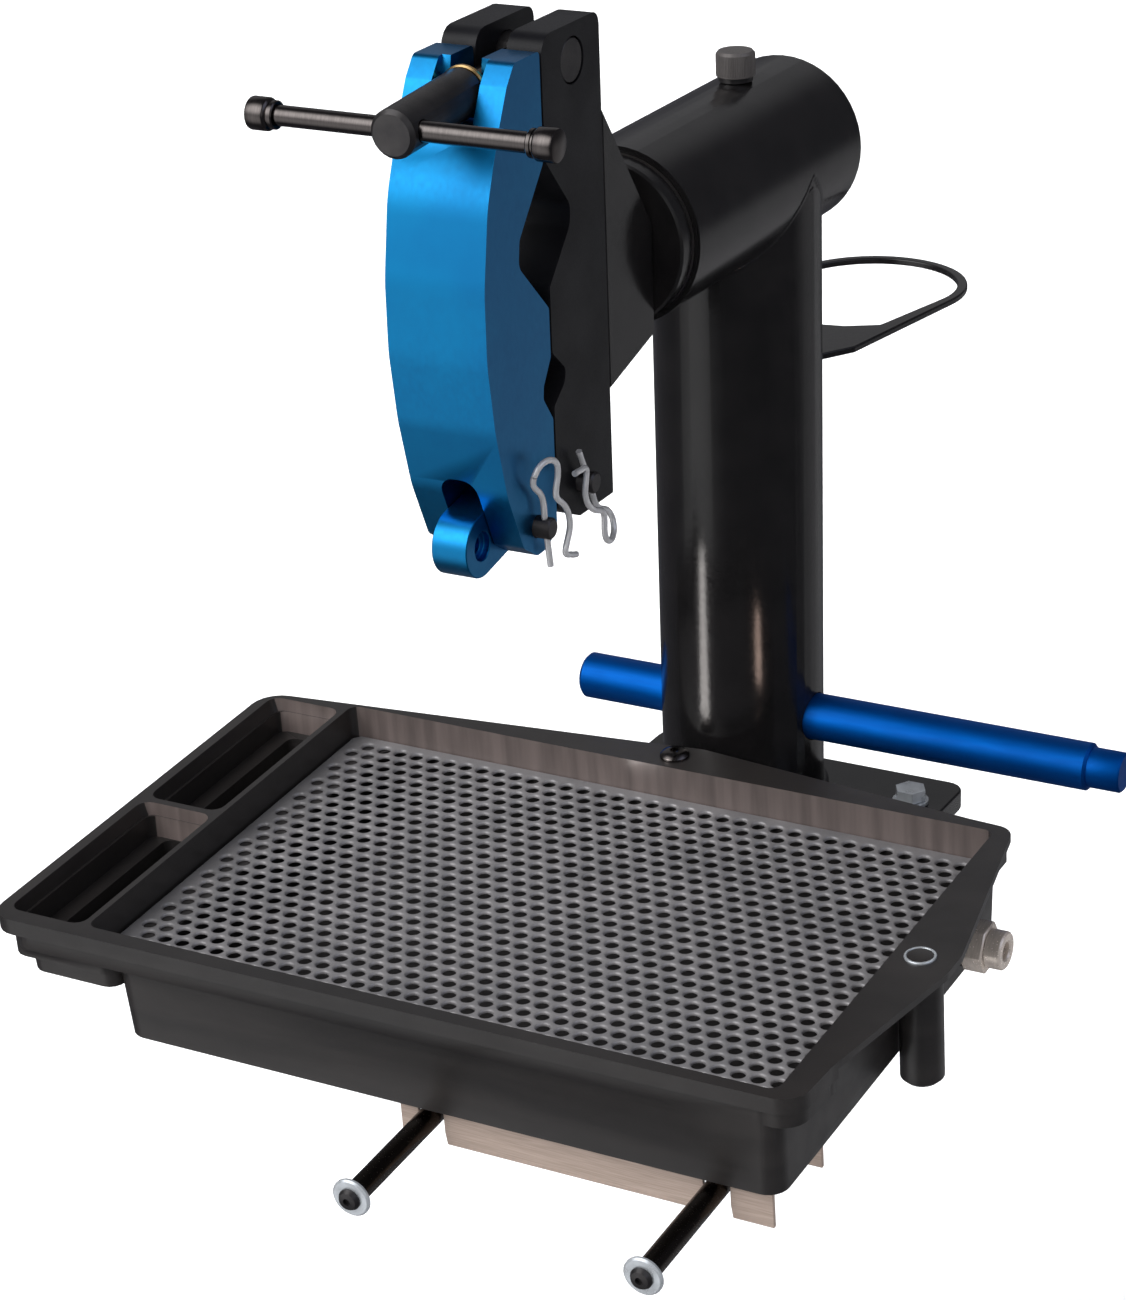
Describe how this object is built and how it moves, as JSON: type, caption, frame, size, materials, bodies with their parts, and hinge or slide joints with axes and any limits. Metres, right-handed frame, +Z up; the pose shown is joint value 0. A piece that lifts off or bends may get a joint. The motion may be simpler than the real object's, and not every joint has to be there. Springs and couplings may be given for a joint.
{
  "type": "bike repair stand",
  "caption": "Bench-mounted repair stand: swivelling screw vise on a round column, with leverage bar, tool ring and a sliding drain tray with lift-out grate.",
  "frame": {"origin": "on the base plate's underside, on the column axis", "axes": "+Z up the column, +X to the right along the leverage bar, +Y from the vise towards the back"},
  "size_m": [0.4126, 0.5443, 0.454],
  "materials": {
    "powder_black": "gloss black powder coat",
    "anodised_black": "satin black anodised",
    "anodised_blue": "satin blue anodised",
    "oxide_steel": "black oxide",
    "polished_steel": "dark polished steel",
    "zinc_steel": "bright zinc plate",
    "stainless": "brushed stainless",
    "brass": "machined brass",
    "bronze": "plain bronze bearing",
    "nickel_brass": "nickel-plated brass",
    "plastic_black": "fine-textured black moulding",
    "rubber_black": "smooth black rubber",
    "perforated_grey": "dark grey perforated sheet"
  },
  "bodies": {
    "stand": {"base_plate": "powder_black", "bench_bolt_1": "zinc_steel", "bench_bolt_2": "zinc_steel", "bench_washer_1": "zinc_steel", "bench_washer_2": "zinc_steel", "column_tube": "powder_black", "head_tube": "powder_black", "head_rear_cap": "plastic_black", "front_bushing": "bronze", "rear_bushing": "bronze", "tool_ring": "powder_black", "plunger_sleeve": "oxide_steel", "rail_block": "powder_black", "rail_1": "powder_black", "rail_2": "powder_black", "rail_washer_1": "zinc_steel", "rail_washer_2": "zinc_steel", "rail_screw_1": "oxide_steel", "rail_screw_2": "oxide_steel"},
    "bar": {"leverage_bar": "anodised_blue"},
    "plunger": {"index_plunger": "polished_steel"},
    "head": {"spindle": "polished_steel", "thrust_ring": "plastic_black", "head_stub": "powder_black", "cheek_left": "powder_black", "cheek_right": "powder_black", "jaw_back_plate": "powder_black", "centre_web": "powder_black", "fixed_jaw": "anodised_black", "pivot_link": "anodised_blue", "link_pin_2": "oxide_steel", "hitch_clip_2": "zinc_steel"},
    "jaw": {"moving_jaw": "anodised_blue", "link_pin_1": "oxide_steel", "hitch_clip_1": "zinc_steel"},
    "screw": {"trunnion_pin": "oxide_steel", "screw_rod": "polished_steel"},
    "nut": {"brass_washer": "brass"},
    "barrel": {"screw_barrel": "oxide_steel"},
    "handle": {"t_bar": "polished_steel", "t_bar_cap_left": "polished_steel", "t_bar_cap_right": "polished_steel"},
    "tray": {"carriage_bracket": "stainless", "drain_tray": "plastic_black", "tray_post_right": "plastic_black", "tray_post_rear": "plastic_black", "tray_screw_right": "polished_steel", "tray_screw_rear": "polished_steel", "drain_nut": "nickel_brass", "drain_gasket": "rubber_black", "drain_spout": "nickel_brass"},
    "grate": {"grate": "perforated_grey"}
  },
  "joints": [
    {"name": "leverage_bar_slide", "type": "slide", "parent": "stand", "child": "bar", "axis": [1, 0, 0], "range_m": [-0.035, 0.1]},
    {"name": "index_plunger_pull", "type": "slide", "parent": "stand", "child": "plunger", "axis": [0, 0, 1], "range_m": [0, 0.008], "stiffness_N_per_m": 600, "springref_m": -0.004},
    {"name": "head_swivel", "type": "hinge", "parent": "stand", "child": "head", "pos_m": [0, 0, 0.3087], "axis": [0, 1, 0], "continuous": true},
    {"name": "screw_swing", "type": "hinge", "parent": "head", "child": "screw", "pos_m": [0, -0.1845, 0.4015], "axis": [-1, 0, 0], "range_deg": [0, 100]},
    {"name": "nut_travel", "type": "slide", "parent": "screw", "child": "nut", "axis": [0, -0.9979, -0.0645], "range_m": [0, 0.028]},
    {"name": "barrel_turn", "type": "hinge", "parent": "nut", "child": "barrel", "pos_m": [0, -0.1845, 0.4015], "axis": [0, 0.9979, 0.0645], "range_deg": [0, 3150]},
    {"name": "handle_slide", "type": "slide", "parent": "barrel", "child": "handle", "axis": [1, 0, 0], "range_m": [-0.044, 0.044]},
    {"name": "jaw_open", "type": "hinge", "parent": "head", "child": "jaw", "pos_m": [0, -0.226, 0.2244], "axis": [1, 0, 0], "range_deg": [0, 9]},
    {"name": "tray_slide", "type": "slide", "parent": "stand", "child": "tray", "axis": [0, -0.9981, -0.0609], "range_m": [0, 0.055]},
    {"name": "grate_lift", "type": "slide", "parent": "tray", "child": "grate", "axis": [0, -0.0609, 0.9981], "range_m": [0, 0.06]}
  ],
  "couplings": [
    {"joint": "nut_travel", "follows": "barrel_turn", "m_per_rad": 0.00050532},
    {"joint": "jaw_open", "follows": "barrel_turn", "ratio": 0.0027792}
  ]
}
